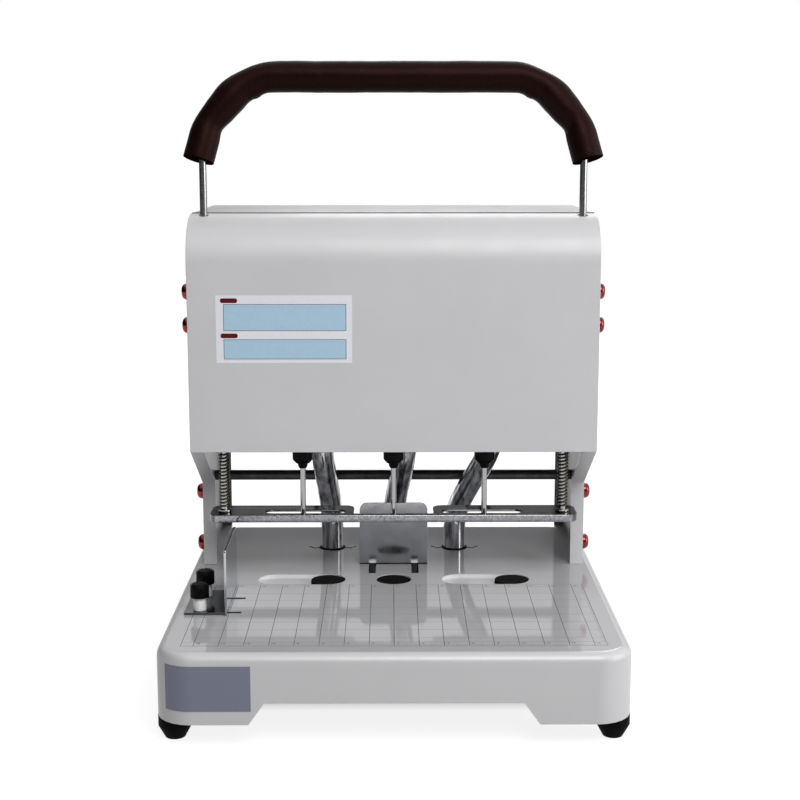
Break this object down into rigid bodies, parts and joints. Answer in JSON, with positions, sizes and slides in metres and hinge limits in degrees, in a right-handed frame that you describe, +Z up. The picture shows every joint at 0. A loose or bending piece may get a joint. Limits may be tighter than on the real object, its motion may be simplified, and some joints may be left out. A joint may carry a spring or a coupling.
{
  "type": "electric paper drill",
  "caption": "Desk paper drill: a bail handle pushes a sprung head with hollow drills and a clamp plate onto a flat base with sliding cutting pads, a back stop, a side guide and a chip tray.",
  "frame": {"origin": "on the floor under the middle of the base", "axes": "+X to the operator's right, +Y to the rear of the machine, +Z up"},
  "size_m": [0.38, 0.4, 0.5412],
  "materials": {
    "enamel": "gloss",
    "rubber": "matte",
    "plastic": "satin",
    "zinc": "galvanised",
    "steel": "bright",
    "red": "red anodised",
    "foam": "foam",
    "motor": "satin",
    "hose": "glossy grey"
  },
  "bodies": {
    "base": {"base_housing": "enamel", "foot_front_left": "rubber", "foot_front_right": "rubber", "foot_rear_left": "rubber", "foot_rear_right": "rubber", "cutting_pad_centre": "plastic", "side_frame_left": "enamel", "side_frame_right": "enamel", "front_cover": "enamel", "top_rear_cover": "enamel", "screw_cover_upper_left": "red", "screw_cover_lower_left": "red", "screw_post_upper_left": "red", "screw_post_lower_left": "red", "screw_cover_upper_right": "red", "screw_cover_lower_right": "red", "screw_post_upper_right": "red", "screw_post_lower_right": "red", "rear_tie_rod": "plastic", "lower_cross_beam": "steel", "upper_cross_beam": "steel", "guide_column_left": "steel", "guide_column_right": "steel", "switch_bezel": "plastic", "power_inlet": "plastic", "return_spring_left": "zinc", "return_spring_right": "zinc", "chip_hose_left": "hose", "chip_hose_centre": "hose", "chip_hose_right": "hose"},
    "carriage": {"yoke": "steel", "handle_bail": "steel", "handle_grip": "foam", "spindle_motor_centre": "motor", "clamp_spring_left": "zinc", "clamp_spring_right": "zinc"},
    "clamp": {"clamp_plate": "zinc", "clamp_rod_left": "steel", "clamp_rod_right": "steel"},
    "spindle_left": {"spindle_motor_left": "motor"},
    "spindle_right": {"spindle_motor_right": "motor"},
    "spin_left": {"chuck_left": "plastic", "drill_left": "steel"},
    "spin_centre": {"chuck_centre": "plastic", "drill_centre": "steel"},
    "spin_right": {"chuck_right": "plastic", "drill_right": "steel"},
    "pad_left": {"cutting_pad_left": "plastic"},
    "pad_right": {"cutting_pad_right": "plastic"},
    "stop": {"back_stop": "zinc"},
    "guide": {"side_guide": "zinc"},
    "knob_front": {"thumb_knob_front": "plastic"},
    "knob_rear": {"thumb_knob_rear": "plastic"},
    "tray": {"chip_tray": "plastic"},
    "rocker": {"switch_rocker": "plastic"}
  },
  "joints": [
    {"name": "carriage_slide", "type": "slide", "parent": "base", "child": "carriage", "axis": [0, 0, -1], "range_m": [0, 0.056], "stiffness_N_per_m": 900, "springref_m": -0.2, "deforming": ["handle_grip", "return_spring_left", "return_spring_right", "chip_hose_left", "chip_hose_centre", "chip_hose_right"]},
    {"name": "clamp_lift", "type": "slide", "parent": "carriage", "child": "clamp", "axis": [0, 0, 1], "range_m": [0, 0.03], "stiffness_N_per_m": 500, "springref_m": -0.03, "deforming": ["clamp_spring_left", "clamp_spring_right"]},
    {"name": "spindle_shift_left", "type": "slide", "parent": "carriage", "child": "spindle_left", "axis": [-1, 0, 0], "range_m": [-0.021, 0.026]},
    {"name": "spindle_shift_right", "type": "slide", "parent": "carriage", "child": "spindle_right", "axis": [1, 0, 0], "range_m": [-0.021, 0.026]},
    {"name": "drill_spin_left", "type": "hinge", "parent": "spindle_left", "child": "spin_left", "pos_m": [-0.082, 0.005, 0.186], "axis": [0, 0, -1], "continuous": true},
    {"name": "drill_spin_centre", "type": "hinge", "parent": "carriage", "child": "spin_centre", "pos_m": [0, 0.005, 0.186], "axis": [0, 0, -1], "continuous": true},
    {"name": "drill_spin_right", "type": "hinge", "parent": "spindle_right", "child": "spin_right", "pos_m": [0.082, 0.005, 0.186], "axis": [0, 0, -1], "continuous": true},
    {"name": "pad_slide_left", "type": "slide", "parent": "base", "child": "pad_left", "axis": [-1, 0, 0], "range_m": [0, 0.048]},
    {"name": "pad_slide_right", "type": "slide", "parent": "base", "child": "pad_right", "axis": [-1, 0, 0], "range_m": [0, 0.048]},
    {"name": "back_stop_slide", "type": "slide", "parent": "base", "child": "stop", "axis": [0, -1, 0], "range_m": [0, 0.027]},
    {"name": "side_guide_slide", "type": "slide", "parent": "base", "child": "guide", "axis": [1, 0, 0], "range_m": [0, 0.03]},
    {"name": "knob_turn_front", "type": "hinge", "parent": "guide", "child": "knob_front", "pos_m": [-0.165, -0.092, 0.077], "axis": [0, 0, 1], "continuous": true},
    {"name": "knob_turn_rear", "type": "hinge", "parent": "guide", "child": "knob_rear", "pos_m": [-0.165, -0.052, 0.077], "axis": [0, 0, 1], "continuous": true},
    {"name": "chip_tray_slide", "type": "slide", "parent": "base", "child": "tray", "axis": [0, 1, 0], "range_m": [0, 0.1]},
    {"name": "switch_rock", "type": "hinge", "parent": "base", "child": "rocker", "pos_m": [-0.12, 0.196, 0.235], "axis": [1, 0, 0], "range_deg": [0, 18]}
  ]
}
